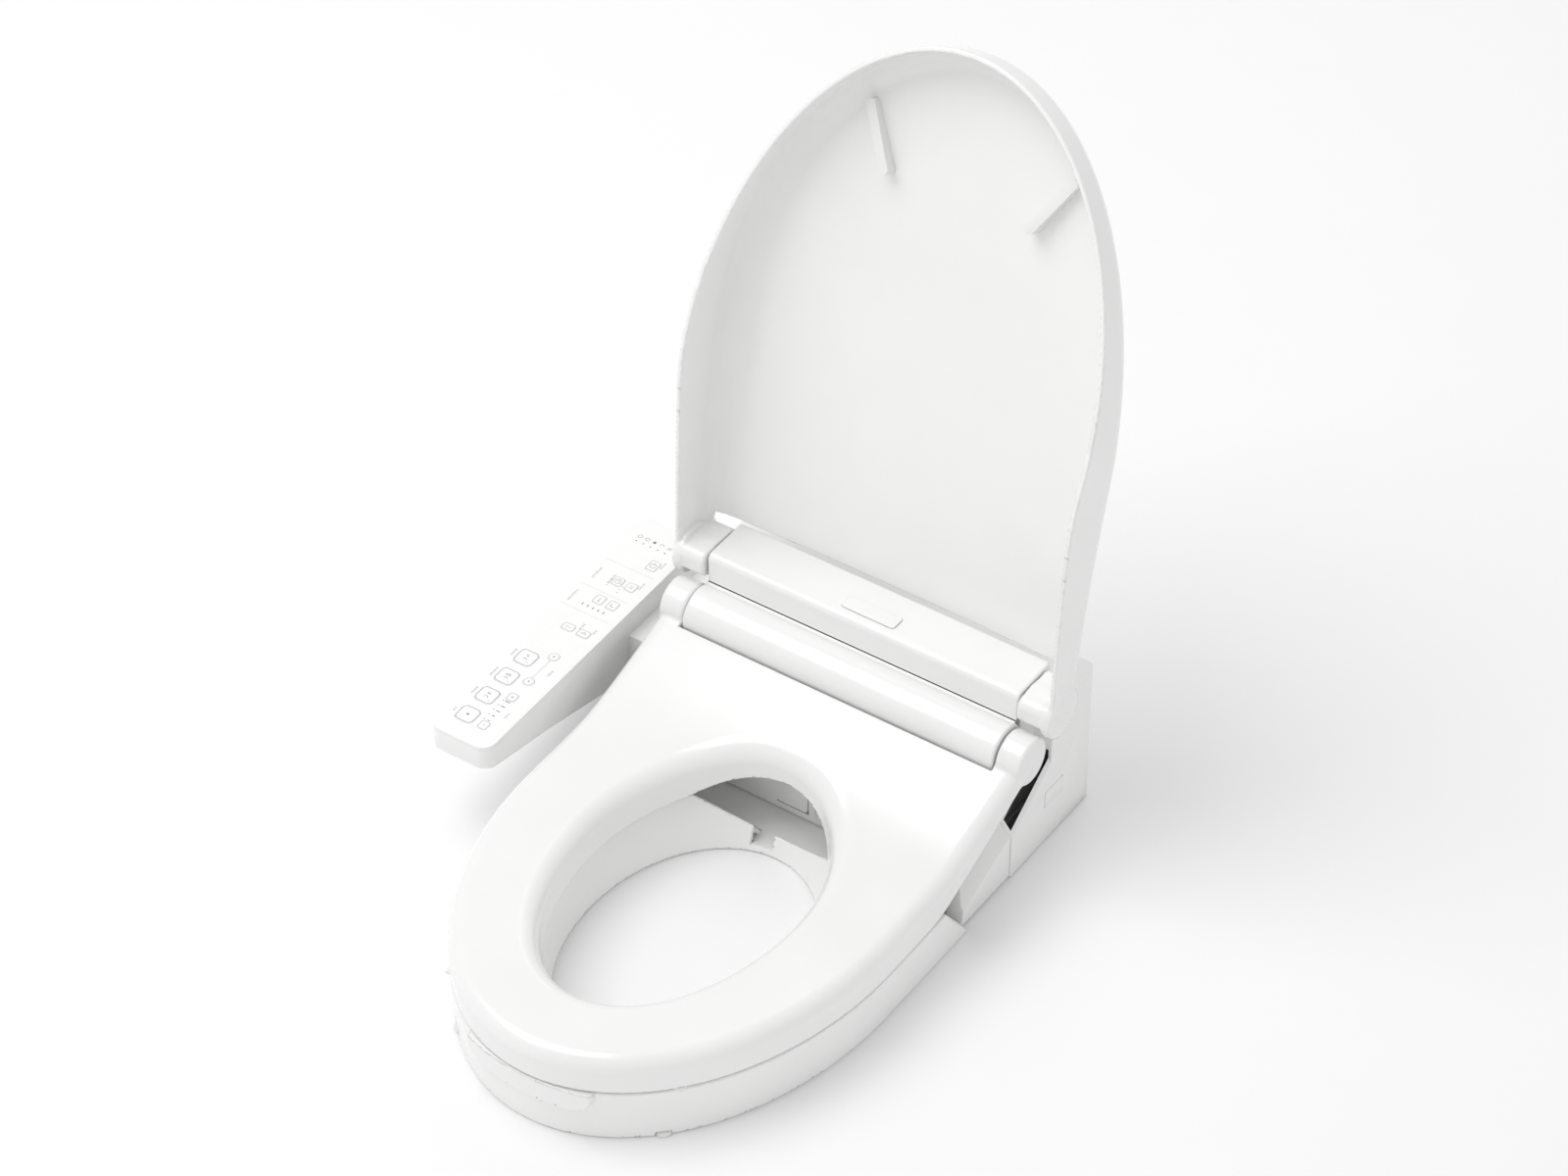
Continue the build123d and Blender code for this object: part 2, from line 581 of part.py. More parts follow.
def on_panel(x, y, drop):
    """Tilted work plane on the panel at (x, y), drop below its face."""
    tilt = radians(PANEL_TILT)
    return Plane(origin=(x, y, panel_z(y, drop)), x_dir=(1, 0, 0), z_dir=(0, -sin(tilt), cos(tilt)))


PANEL_SIDE = [(PANEL_FRONT - 5, 82), (-236, 80), (-166, 66), (-86, 47), (-60, 30), (PANEL_BACK + 5, 30)]
PANEL_CAVITY = [(PANEL_FRONT - 5, 85.5), (-236, 83.5), (-164, 69), (-84, 50), (-58, 33), (PANEL_BACK + 5, 33)]
BRIDGE_Y = (-55.0, 44.0)
BRIDGE_Z = (30.0, 85.0)


def panel_body(inset, top_drop, under):
    """Panel casing block between its underside outline and a depth below the face."""
    with BuildPart() as body:
        add(panel_slab(inset, top_drop, 100))
        with BuildSketch(Plane.YZ):
            Polygon(*under, (PANEL_BACK + 5, 200), (PANEL_FRONT - 5, 200), align=None)
        extrude(amount=300, both=True, mode=Mode.INTERSECT)
    return body.part


with BuildPart() as panel_case:
    add(panel_body(0, PANEL_LID_THICK + 0.1, PANEL_SIDE))
    block((PANEL_RIGHT - 6, BRIDGE_Y[0], BRIDGE_Z[0]), (-BODY_HALF - 0.05, BRIDGE_Y[1], BRIDGE_Z[1]))
    add(panel_body(WALL, 0, PANEL_CAVITY), mode=Mode.SUBTRACT)
    block((PANEL_RIGHT - 8, BRIDGE_Y[0] + WALL, BRIDGE_Z[0] + WALL),
          (-BODY_HALF, BRIDGE_Y[1] - WALL, BRIDGE_Z[1] - WALL), Mode.SUBTRACT)
    for y in (-205, -50, 20):
        with Locations((PANEL_LEFT + 6, y, 90), (PANEL_RIGHT - 6, y, 90)):
            Box(6, 6, 10)
save(panel_case.part, "panel_case")

# keys: name, x, y, width, length, corner radius
KEYS = [
    ("stop_key", -235, -221, 17, 17, 4), ("rear_wash_key", -235, -195, 17, 17, 4),
    ("soft_wash_key", -235, -169, 17, 17, 4), ("front_wash_key", -235, -143, 17, 17, 4),
    ("pressure_minus_key", -217, -224, 8, 9, 2), ("pressure_plus_key", -217, -186, 8, 9, 2),
    ("nozzle_back_key", -217, -164, 9, 9, 4), ("nozzle_forward_key", -217, -130, 9, 9, 4),
    ("power_save_key", -228, -95, 11, 8, 2), ("nozzle_clean_key", -213, -95, 11, 8, 2),
    ("water_warmth_key", -226, -55, 9, 10, 2), ("seat_warmth_key", -213, -55, 9, 10, 2),
    ("timer_key", -226, -29, 9, 10, 2), ("deodoriser_key", -213, -29, 9, 10, 2),
    ("power_key", -213, 2, 9, 12, 2),
]
KEY_GAP = 0.3
KEY_PROUD = 0.3
KEY_FOOT = 4.2
BOARD_DROP = 9.0
SWITCH_TOP = 5.8

with BuildPart() as panel_top:
    add(panel_slab(0, 0, PANEL_LID_THICK))
    for key, x, y, width, length, corner in KEYS:
        with BuildSketch(on_panel(x, y, -2)):
            RectangleRounded(width + 2 * KEY_GAP, length + 2 * KEY_GAP, corner + KEY_GAP)
        extrude(amount=-8, mode=Mode.SUBTRACT)
save(panel_top.part, "panel_top")

for key, x, y, width, length, corner in KEYS:
    with BuildPart() as panel_key:
        with BuildSketch(on_panel(x, y, -KEY_PROUD)):
            RectangleRounded(width, length, corner)
        extrude(amount=-(KEY_FOOT + KEY_PROUD))
        fillet(panel_key.faces().sort_by(Axis.Z)[-1].edges(), 0.25)
    save(panel_key.part, key)

with BuildPart() as panel_board:
    with BuildSketch(on_panel((PANEL_LEFT + PANEL_RIGHT) / 2, -100, BOARD_DROP)):
        Rectangle(PANEL_RIGHT - PANEL_LEFT - 20, 260)
    extrude(amount=1.6)
save(panel_board.part, "panel_board")

with BuildPart() as key_switches:
    for key, x, y, width, length, corner in KEYS:
        with BuildSketch(on_panel(x, y, BOARD_DROP - 1.7)):
            Rectangle(6, 6)
        extrude(amount=BOARD_DROP - 1.7 - SWITCH_TOP)
save(key_switches.part, "key_switches")


# ---- washing nozzle ---------------------------------------------------------------------------------
NOZZLE_DIR = (0, -cos(radians(NOZZLE_TILT)), -sin(radians(NOZZLE_TILT)))


def on_nozzle(y, lift=0.0):
    """Plane square to the nozzle's axis where the axis passes y, looking down the wand."""
    z = NOZZLE_AT_DOOR_Z + (y - BODY_FRONT) * tan(radians(NOZZLE_TILT)) + lift
    return Plane(origin=(NOZZLE_X, y, z), x_dir=(1, 0, 0), z_dir=NOZZLE_DIR)


WAND_LENGTH = 92.0
with BuildPart() as nozzle_wand:
    with BuildSketch(on_nozzle(NOZZLE_REST_Y)):
        Circle(NOZZLE_R)
    extrude(amount=-WAND_LENGTH)
    fillet(nozzle_wand.faces().sort_by(Axis.Y)[0].edges(), 2.5)
    with Locations(*[on_nozzle(NOZZLE_REST_Y + back, 0) for back in (7, 13)]):
        with Locations(Location((0, -NOZZLE_R, 0), (90, 0, 0))):
            Cylinder(1.2, 6, mode=Mode.SUBTRACT)
    with BuildSketch(on_nozzle(NOZZLE_REST_Y + 30)):
        with Locations((0, -NOZZLE_R - 1.2)):
            Rectangle(4, 4)
    extrude(amount=-WAND_LENGTH + 31)
save(nozzle_wand.part, "nozzle_wand")

with BuildPart() as nozzle_rail:
    with BuildSketch(on_nozzle(4)):
        Rectangle(24, 22)
        with Locations((0, 0)):
            Circle(NOZZLE_R + 0.4, mode=Mode.SUBTRACT)
        with Locations((0, -11)):
            Rectangle(5, 13, mode=Mode.SUBTRACT)
    extrude(amount=-36)
    block((NOZZLE_X - 11.5, 10, 13.1), (NOZZLE_X - 7.5, 34, 44))
save(nozzle_rail.part, "nozzle_rail")

with BuildPart() as nozzle_flap:
    with BuildSketch(Plane.XZ.offset(-BODY_FRONT - 1)):
        with Locations((NOZZLE_X, (DOOR_FOOT + DOOR_HINGE[1]) / 2)):
            RectangleRounded(2 * DOOR_HALF, DOOR_HINGE[1] - DOOR_FOOT - 1, 3)
    extrude(amount=2)
    add(tube_x(DOOR_HINGE, 1.8, NOZZLE_X - DOOR_HALF, NOZZLE_X + DOOR_HALF))
save(nozzle_flap.part, "nozzle_flap")

with BuildPart() as nozzle_motor:
    with Locations(Location((NOZZLE_X + 24, 20, MOTOR_Z), (0, 90, 0))):
        Cylinder(12, 18)
    with BuildSketch(cross_plane(NOZZLE_X - 3)):
        with Locations((20, MOTOR_Z)):
            Circle(2)
    extrude(amount=19)
save(nozzle_motor.part, "nozzle_motor")

with BuildPart() as drive_pinion:
    with BuildSketch(cross_plane(NOZZLE_X - 2)):
        with Locations((20, MOTOR_Z)):
            Circle(PINION_R - 2)
            with PolarLocations(PINION_R - 1.7, 12):
                Rectangle(2.4, 1.3)
            Circle(2.05, mode=Mode.SUBTRACT)
    extrude(amount=4)
save(drive_pinion.part, "drive_pinion")


# ---- water path -------------------------------------------------------------------------------------
TANK_LOW = (70, -60, 13.1)
TANK_HIGH = (136, 56, 80)
with BuildPart() as water_tank:
    block(TANK_LOW, TANK_HIGH)
    fillet(water_tank.edges().filter_by(Axis.Z), 10)
    offset(amount=-2.5, mode=Mode.SUBTRACT)
    with Locations((104, 36, 80)):
        Cylinder(5, 14)
        Cylinder(3, 30, mode=Mode.SUBTRACT)
save(water_tank.part, "water_tank")

with BuildPart() as heater_element:
    with BuildLine() as heater_line:
        Polyline((92, -40, 40), (92, 20, 40))
        ThreePointArc((92, 20, 40), (104, 32, 40), (116, 20, 40))
        Polyline((116, 20, 40), (116, -40, 40))
    with BuildSketch(Plane(origin=heater_line.line @ 0, z_dir=heater_line.line % 0)):
        Circle(4)
    sweep()
save(heater_element.part, "heater_element")

with BuildPart() as solenoid_valve:
    block((-124, 30, 13.1), (-80, 56, 50))
    with Locations((-102, 43, 58)):
        Cylinder(12, 18)
save(solenoid_valve.part, "solenoid_valve")

with BuildPart() as inlet_fitting:
    with Locations(Location((-158.95, *INLET_AT), (0, 90, 0))):
        Cylinder(11.8, 5.9)
    with Locations(Location((-171.95, *INLET_AT), (0, 90, 0))):
        Cylinder(INLET_R, INLET_LENGTH)
    with Locations(Location((-170, *INLET_AT), (0, 90, 0))):
        Cylinder(6.5, 40, mode=Mode.SUBTRACT)
save(inlet_fitting.part, "inlet_fitting")

with BuildPart() as inlet_filter:
    with Locations(Location((-170, *INLET_AT), (0, 90, 0))):
        Cylinder(6.3, 18)
        Cylinder(4.8, 40, mode=Mode.SUBTRACT)
    with Locations(Location((-160.6, *INLET_AT), (0, 90, 0))):
        Cylinder(5.2, 1.2)
save(inlet_filter.part, "inlet_filter")

with BuildPart() as water_hose:
    with BuildLine() as hose_line:
        Spline((-79.5, 45, 36), (-50, 52, 30), (10, 58, 22), (50, 62, 26), (69.5, 45, 30),
               tangents=((1, 0, 0), (1, 0, 0)))
    with BuildSketch(Plane(origin=hose_line.line @ 0, z_dir=hose_line.line % 0)):
        Circle(4)
        Circle(2.6, mode=Mode.SUBTRACT)
    sweep()
    with BuildLine() as feed_line:
        Spline((-155.5, INLET_AT[0], INLET_AT[1]), (-124.5, 45, 36), tangents=((1, 0, 0), (1, 0, 0)))
    with BuildSketch(Plane(origin=feed_line.line @ 0, z_dir=feed_line.line % 0)):
        Circle(4)
        Circle(2.6, mode=Mode.SUBTRACT)
    sweep(path=feed_line.line)
save(water_hose.part, "water_hose")

with BuildPart() as drain_plug:
    with Locations(Location((-BODY_HALF + 1.5, *DRAIN_AT), (0, 90, 0))):
        Cylinder(9, 5)
    with Locations(Location((-BODY_HALF + 9, *DRAIN_AT), (0, 90, 0))):
        Cylinder(6, 14)
    block((-BODY_HALF - 3.4, DRAIN_AT[0] - 7, DRAIN_AT[1] - 1.3),
          (-BODY_HALF - 0.5, DRAIN_AT[0] + 7, DRAIN_AT[1] + 1.3))
save(drain_plug.part, "drain_plug")

# ---- electronics, fan and small fittings ------------------------------------------------------------
with BuildPart() as main_board:
    block((-130, 0, 96), (-30, 66, 97.6))
    for x, y, high in ((-115, 14, 16), (-92, 50, 22), (-60, 20, 12), (-45, 52, 18)):
        block((x - 8, y - 7, 97.6), (x + 8, y + 7, 97.6 + high))
save(main_board.part, "main_board")

with BuildPart() as intake_grille:
    block((VENT_LEFT + 0.2, BODY_FRONT, 16.2), (VENT_RIGHT - 0.2, BODY_FRONT + 2.4, 39.8))
    with GridLocations(5, 18, 6, 1):
        with Locations(((VENT_LEFT + VENT_RIGHT) / 2, BODY_FRONT + 1, 28)):
            Box(2, 8, 17, mode=Mode.SUBTRACT)
save(intake_grille.part, "intake_grille")

with BuildPart() as odour_cartridge:
    block((VENT_LEFT + 0.5, BODY_FRONT + 5.5, 16.5), (VENT_RIGHT - 0.5, BODY_FRONT + 27, 39.5))
    with GridLocations(6, 6, 5, 3):
        with Locations(((VENT_LEFT + VENT_RIGHT) / 2, BODY_FRONT + 16, 28)):
            Box(4, 40, 4, mode=Mode.SUBTRACT)
save(odour_cartridge.part, "odour_cartridge")

FAN_AT = (34, -22)
with BuildPart() as fan_housing:
    with BuildSketch(Plane.XY.offset(13.1)):
        with Locations(FAN_AT):
            Circle(23)
        with Locations(((VENT_LEFT + VENT_RIGHT) / 2, -46)):
            Rectangle(26, 22)
    extrude(amount=23.9)
    with BuildSketch(Plane.XY.offset(19)):
        with Locations(FAN_AT):
            Circle(21)
        with Locations(((VENT_LEFT + VENT_RIGHT) / 2, -46)):
            Rectangle(22, 40)
    extrude(amount=16, mode=Mode.SUBTRACT)
    with BuildSketch(Plane.XY.offset(34)):
        with Locations(FAN_AT):
            Circle(13)
    extrude(amount=5, mode=Mode.SUBTRACT)
    with BuildSketch(Plane.XY.offset(18)):
        with Locations(FAN_AT):
            Circle(1.5)
    extrude(amount=12)
save(fan_housing.part, "fan_housing")

with BuildPart() as fan_impeller:
    with BuildSketch(Plane.XY.offset(20)):
        with Locations(FAN_AT):
            Circle(19)
            Circle(1.55, mode=Mode.SUBTRACT)
    extrude(amount=1.5)
    with BuildSketch(Plane.XY.offset(21)):
        with Locations(FAN_AT):
            Circle(5)
            Circle(1.55, mode=Mode.SUBTRACT)
            with PolarLocations(15, 15):
                Rectangle(7, 1.1, rotation=35)
    extrude(amount=11)
save(fan_impeller.part, "fan_impeller")

with BuildPart() as cord_gland:
    with Locations(Location((GLAND_AT[0], BODY_REAR - 1, GLAND_AT[1]), (90, 0, 0))):
        Cylinder(7, 12)
    with Locations(Location((GLAND_AT[0], BODY_REAR + 2.5, GLAND_AT[1]), (90, 0, 0))):
        Cylinder(9.5, 5)
    with Locations(Location((GLAND_AT[0], BODY_REAR, GLAND_AT[1]), (90, 0, 0))):
        Cylinder(GLAND_BORE_R, 30, mode=Mode.SUBTRACT)
save(cord_gland.part, "cord_gland")

with BuildPart() as release_button:
    block((BODY_HALF - 2.5, RELEASE_AT[0] - 13, RELEASE_AT[1] - 8),
          (BODY_HALF + 0.5, RELEASE_AT[0] + 13, RELEASE_AT[1] + 8))
    fillet(release_button.edges().filter_by(Axis.X), 2)
    block((BODY_HALF - 12, RELEASE_AT[0] - 5, RELEASE_AT[1] - 4),
          (BODY_HALF - 2, RELEASE_AT[0] + 5, RELEASE_AT[1] + 4))
save(release_button.part, "release_button")
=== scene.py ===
"""Electric bidet seat: smooth moulded shells, printed control panel and studio set round the CAD frame."""

import json
from math import cos, pi, radians, sin, tan

import bmesh
import bpy
import numpy as np
from mathutils import Matrix, Vector

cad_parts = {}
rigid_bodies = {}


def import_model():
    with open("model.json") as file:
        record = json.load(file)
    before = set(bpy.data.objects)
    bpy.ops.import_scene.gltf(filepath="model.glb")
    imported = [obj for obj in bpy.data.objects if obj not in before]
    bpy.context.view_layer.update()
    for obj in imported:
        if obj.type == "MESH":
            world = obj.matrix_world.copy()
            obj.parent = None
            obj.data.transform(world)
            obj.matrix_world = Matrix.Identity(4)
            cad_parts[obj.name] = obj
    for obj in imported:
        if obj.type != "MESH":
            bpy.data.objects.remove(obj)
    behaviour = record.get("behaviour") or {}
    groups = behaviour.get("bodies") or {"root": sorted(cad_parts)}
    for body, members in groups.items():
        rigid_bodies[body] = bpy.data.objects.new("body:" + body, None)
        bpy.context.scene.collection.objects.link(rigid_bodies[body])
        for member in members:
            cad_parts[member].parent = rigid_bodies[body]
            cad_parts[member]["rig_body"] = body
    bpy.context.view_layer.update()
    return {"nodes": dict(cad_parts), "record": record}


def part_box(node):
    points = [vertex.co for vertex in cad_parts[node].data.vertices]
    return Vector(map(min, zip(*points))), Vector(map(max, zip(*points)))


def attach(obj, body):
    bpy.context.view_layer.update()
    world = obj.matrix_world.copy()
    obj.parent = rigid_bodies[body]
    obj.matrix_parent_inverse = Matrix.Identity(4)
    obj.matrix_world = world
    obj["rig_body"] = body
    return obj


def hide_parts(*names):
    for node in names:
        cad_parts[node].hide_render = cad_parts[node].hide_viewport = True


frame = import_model()

MM = 0.001


# ---- camera: a long lens high on the right-hand side -------------------------------------------
CAMERA_AZIMUTH = 34.404
CAMERA_ELEVATION = 41.494
CAMERA_DISTANCE = 4.2738
CAMERA_TARGET = Vector((-0.12085, 0.0567, 0.0930))
CAMERA_LENS = 119.754

camera_data = bpy.data.cameras.new("camera")
camera_data.sensor_width = 36.0
camera_data.lens = CAMERA_LENS
camera_data.clip_end = 100.0
camera = bpy.data.objects.new("camera", camera_data)
bpy.context.scene.collection.objects.link(camera)
azimuth, elevation = radians(CAMERA_AZIMUTH), radians(CAMERA_ELEVATION)
towards_camera = Vector((sin(azimuth) * cos(elevation), -cos(azimuth) * cos(elevation), sin(elevation)))
camera.location = CAMERA_TARGET + towards_camera * CAMERA_DISTANCE
camera.rotation_euler = (-towards_camera).to_track_quat("-Z", "Y").to_euler()
bpy.context.scene.camera = camera


# ---- materials -----------------------------------------------------------------------------------
def plastic(name, colour, roughness=0.25, grain=0.12, grain_size=2.2, coat=0.0, mottle=0.02,
            metallic=0.0, sheen_rough=0.04):
    """Moulded plastic: faint colour mottle, uneven gloss and a fine moulding texture."""
    material = bpy.data.materials.new(name)
    material.use_nodes = True
    nodes, links = material.node_tree.nodes, material.node_tree.links
    shader = nodes["Principled BSDF"]
    shader.inputs["Metallic"].default_value = metallic
    shader.inputs["Coat Weight"].default_value = coat
    shader.inputs["Coat Roughness"].default_value = 0.08
    place = nodes.new("ShaderNodeTexCoord")

    def noise(scale, detail):
        """Noise in object space at a feature count per metre."""
        texture = nodes.new("ShaderNodeTexNoise")
        texture.inputs["Scale"].default_value = scale
        texture.inputs["Detail"].default_value = detail
        links.new(place.outputs["Object"], texture.inputs["Vector"])
        return texture.outputs["Fac"]

    def spread(value, low, high):
        """Map a noise value onto a range."""
        ranged = nodes.new("ShaderNodeMapRange")
        ranged.inputs["From Min"].default_value = 0.3
        ranged.inputs["From Max"].default_value = 0.7
        ranged.inputs["To Min"].default_value = low
        ranged.inputs["To Max"].default_value = high
        links.new(value, ranged.inputs["Value"])
        return ranged.outputs["Result"]

    tint = nodes.new("ShaderNodeMix")
    tint.data_type = "RGBA"
    tint.inputs["A"].default_value = (*[c * (1 - mottle) for c in colour], 1)
    tint.inputs["B"].default_value = (*colour, 1)
    links.new(spread(noise(14, 3), 0, 1), tint.inputs["Factor"])
    links.new(tint.outputs["Result"], shader.inputs["Base Color"])
    links.new(spread(noise(60, 4), roughness - sheen_rough, roughness + sheen_rough),
              shader.inputs["Roughness"])
    bump = nodes.new("ShaderNodeBump")
    bump.inputs["Strength"].default_value = grain
    bump.inputs["Distance"].default_value = 0.0002
    links.new(noise(1000 / grain_size, 2), bump.inputs["Height"])
    links.new(bump.outputs["Normal"], shader.inputs["Normal"])
    return material


WHITE = (0.915, 0.915, 0.91)
MATERIALS = {
    "shell_white": plastic("shell_white", WHITE, 0.22, 0.008, 3.0, coat=0.35),
    "seat_white": plastic("seat_white", (0.905, 0.905, 0.90), 0.2, 0.05, 3.0, coat=0.35),
    "panel_white": plastic("panel_white", (0.93, 0.93, 0.925), 0.42, 0.25, 0.8),
    "key_white": plastic("key_white", (0.93, 0.93, 0.925), 0.4, 0.2, 0.8),
    "buffer_white": plastic("buffer_white", (0.86, 0.86, 0.85), 0.5, 0.3, 1.0),
    "base_grey": plastic("base_grey", (0.42, 0.43, 0.44), 0.5, 0.5, 0.8, mottle=0.08),
    "pin_white": plastic("pin_white", (0.8, 0.8, 0.79), 0.35, 0.2, 1.0),
    "bracket_black": plastic("bracket_black", (0.03, 0.03, 0.032), 0.5, 0.5, 0.7, mottle=0.2),
    "steel": plastic("steel", (0.55, 0.55, 0.56), 0.3, 0.2, 0.6, metallic=1.0, mottle=0.1),
    "heater_foil": plastic("heater_foil", (0.75, 0.75, 0.76), 0.35, 0.6, 1.5, metallic=1.0, mottle=0.1),
    "board_green": plastic("board_green", (0.03, 0.16, 0.07), 0.35, 0.3, 1.2, mottle=0.3),
    "switch_black": plastic("switch_black", (0.02, 0.02, 0.022), 0.4, 0.3, 0.5, mottle=0.2),
    "tank_clear": plastic("tank_clear", (0.72, 0.74, 0.71), 0.4, 0.3, 1.5, mottle=0.06),
    "brass": plastic("brass", (0.72, 0.55, 0.25), 0.3, 0.3, 0.6, metallic=1.0, mottle=0.1),
    "fitting_white": plastic("fitting_white", (0.8, 0.8, 0.79), 0.4, 0.3, 0.8, mottle=0.04),
    "mesh_grey": plastic("mesh_grey", (0.3, 0.32, 0.33), 0.5, 0.8, 0.5, mottle=0.2),
    "hose_black": plastic("hose_black", (0.03, 0.03, 0.03), 0.55, 0.5, 0.8, mottle=0.2),
    "charcoal": plastic("charcoal", (0.03, 0.03, 0.03), 0.8, 1.0, 0.8, mottle=0.4),
    "wand_white": plastic("wand_white", (0.86, 0.86, 0.86), 0.18, 0.05, 2.0, coat=0.3),
    "gland_black": plastic("gland_black", (0.18, 0.18, 0.185), 0.55, 0.4, 0.7, mottle=0.2),
    "print_grey": plastic("print_grey", (0.25, 0.26, 0.27), 0.5, 0.1, 0.5, mottle=0.15),
    "line_grey": plastic("line_grey", (0.62, 0.62, 0.63), 0.5, 0.1, 0.5, mottle=0.05),
}
slot_of = {entry["node"]: entry["material_slot"] for entry in frame["record"]["subparts"]}
for name, node in frame["nodes"].items():
    node.data.materials.clear()
    node.data.materials.append(MATERIALS[slot_of[name]])


# ---- shells from distance fields: every edge gets its own true radius --------------------------------
def round_max(a, b, radius):
    """Intersection of two solids with a filleted edge."""
    corner = np.hypot(np.maximum(radius + a, 0), np.maximum(radius + b, 0))
    return np.minimum(-radius, np.maximum(a, b)) + corner


def round_min(a, b, radius):
    """Union of two solids with a filleted inside corner."""
    return -round_max(-a, -b, radius)


def oval(x, y, half, front, middle):
    """Distance from a plan outline: half ellipse in front of middle, straight sides behind."""
    u = x / half
    v = np.minimum(y - middle, 0) / (middle - front)
    radius = np.sqrt(u * u + v * v) + 1e-9
    slope = np.sqrt((u / half) ** 2 + (v / (middle - front)) ** 2) / radius + 1e-9
    return (radius - 1) / slope


def egg(x, y, half, front, middle, back):
    """Distance from an egg-shaped hole made of two half ellipses, negative inside."""
    depth = np.where(y < middle, middle - front, back - middle)
    u = x / half
    v = (y - middle) / depth
    radius = np.sqrt(u * u + v * v) + 1e-9
    slope = np.sqrt((u / half) ** 2 + (v / depth) ** 2) / radius + 1e-9
    return (radius - 1) / slope


def bent_line(y, level, corner, angle, ease):
    """Height of a line that is level, then climbs at an angle beyond a corner, with an eased bend."""
    t = y - corner
    return level + tan(radians(angle)) * (t + np.sqrt(t * t + ease * ease)) / 2


def disc_x(y, z, centre, radius):
    """Distance from a cylinder along X."""
    return np.hypot(y - centre[0], z - centre[1]) - radius


def slab(v, low, high):
    """Distance from the space between two parallel planes."""
    return np.maximum(low - v, v - high)


def gradient(field, points, step=0.02):
    """Gradient of a field at points, by central differences."""
    columns = []
    for axis in range(3):
        shift = np.zeros(3)
        shift[axis] = step
        columns.append((field(*(points + shift).T) - field(*(points - shift).T)) / (2 * step))
    return np.stack(columns, axis=1)


def net_faces(inside, strides):
    """Quads of a surface net: one for each grid edge that crosses the surface, and the cells used."""
    faces = []
    for axis in range(3):
        a, b = [k for k in range(3) if k != axis]
        first = inside.take(range(0, inside.shape[axis] - 1), axis)
        second = inside.take(range(1, inside.shape[axis]), axis)
        at = np.argwhere(first != second)
        at = at[(at[:, a] > 0) & (at[:, b] > 0)]
        base = at @ strides
        quad = np.stack([base, base - strides[a], base - strides[a] - strides[b], base - strides[b]], axis=1)
        flip = first[tuple(at.T)] ^ (axis == 1)
        quad[~flip] = quad[~flip][:, ::-1]
        faces.append(quad)
    return np.concatenate(faces)


def moulded(name, field, low, high, cell, slot, body, replaced=(), turn=None):
    """Mesh of the solid where field is negative, in millimetres, with normals from the field itself."""
    axes = [np.arange(lo - cell, hi + 2 * cell, cell) for lo, hi in zip(low, high)]
    shape = [len(axis) for axis in axes]
    x, y, z = np.meshgrid(*axes, indexing="ij", sparse=True)
    value = np.broadcast_to(field(x, y, z), shape)
    strides = np.array([shape[1] * shape[2], shape[2], 1])
    faces = net_faces(value < 0, strides)
    cells, faces = np.unique(faces, return_inverse=True)
    faces = faces.reshape(-1, 4)
    corner = np.stack(np.unravel_index(cells, shape), axis=1)
    points = np.array([axis[0] for axis in axes]) + (corner + 0.5) * cell
    for _ in range(6):
        slope = gradient(field, points)
        move = slope * (field(*points.T) / np.maximum((slope**2).sum(1), 0.2))[:, None]
        points = points - np.clip(move, -cell / 2, cell / 2)
    normals = gradient(field, points)
    normals /= np.linalg.norm(normals, axis=1)[:, None] + 1e-12
    if turn:
        (hinge_y, hinge_z), angle = turn
        spin = np.array(Matrix.Rotation(radians(angle), 3, "X"))
        pivot = np.array([0, hinge_y, hinge_z])
        points = (points - pivot) @ spin.T + pivot
        normals = normals @ spin.T
    mesh = bpy.data.meshes.new(name)
    mesh.from_pydata((points * MM).tolist(), [], faces.tolist())
    mesh.polygons.foreach_set("use_smooth", [True] * len(mesh.polygons))
    mesh.normals_split_custom_set_from_vertices(normals.tolist())
    mesh.materials.append(MATERIALS[slot])
    piece = bpy.data.objects.new(name, mesh)
    bpy.context.scene.collection.objects.link(piece)
    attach(piece, body)
    if replaced:
        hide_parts(*replaced)
    return piece


FINE = 2.0

# plan shared by the seat and the ring: a half ellipse in front of the middle line
PLAN = {"half": 173, "front": -470, "middle": -225}

# seat
SEAT_HINGE = (-27.0, 118.0)
HUB_R = 21.0
SEAT_TOP = 84
SEAT_UNDER = 51
HOLE = {"half": 92, "front": -397, "middle": -245, "back": -118}


def seat_field(x, y, z):
    """Seat: rolled hole edge, broad outer crest, ramp up to two hinge hubs."""
    top = (z - bent_line(y, SEAT_TOP, -147, 18.8, 30)) * 0.97
    under = (bent_line(y, SEAT_UNDER, -157, 24.7, 12) - z) * 0.95
    flare = 9 * (z - 52) / 34
    hole = egg(x, y, HOLE["half"] + flare * 0.6, HOLE["front"] - flare * 0.6, HOLE["middle"],
               HOLE["back"] + flare * 0.4)
    body = round_max(oval(x, y, **PLAN), top, 13)
    body = round_max(body, -hole, 14)
    body = round_max(body, under, 2)
    notch = np.maximum(np.abs(x) - 149.5, -51.5 - y)
    body = round_max(body, -notch, 1.5)
    body = round_max(body, y + 27, 3)
    hub = round_max(disc_x(y, z, SEAT_HINGE, HUB_R), np.abs(np.abs(x) - 161) - 11.5, 3)
    return round_min(body, hub, 2.5)


moulded("seat_shell", seat_field, (-176, -474, 46), (176, 0, 150), FINE, "seat_white", "seat",
        ("seat_top", "seat_base"))

# ring under the seat
RING_TOP = 50
RING_WALL = 5
RING_TAPER = 4
PLATE_TOP = 6
POST_R = 10
BOLT_HALF_PITCH = 70
BOLT_R = 5.5
WAND_X = -15
POSTS = [(95, -420), (-95, -420), (138, -300), (-138, -300), (134, -170), (-134, -170)]


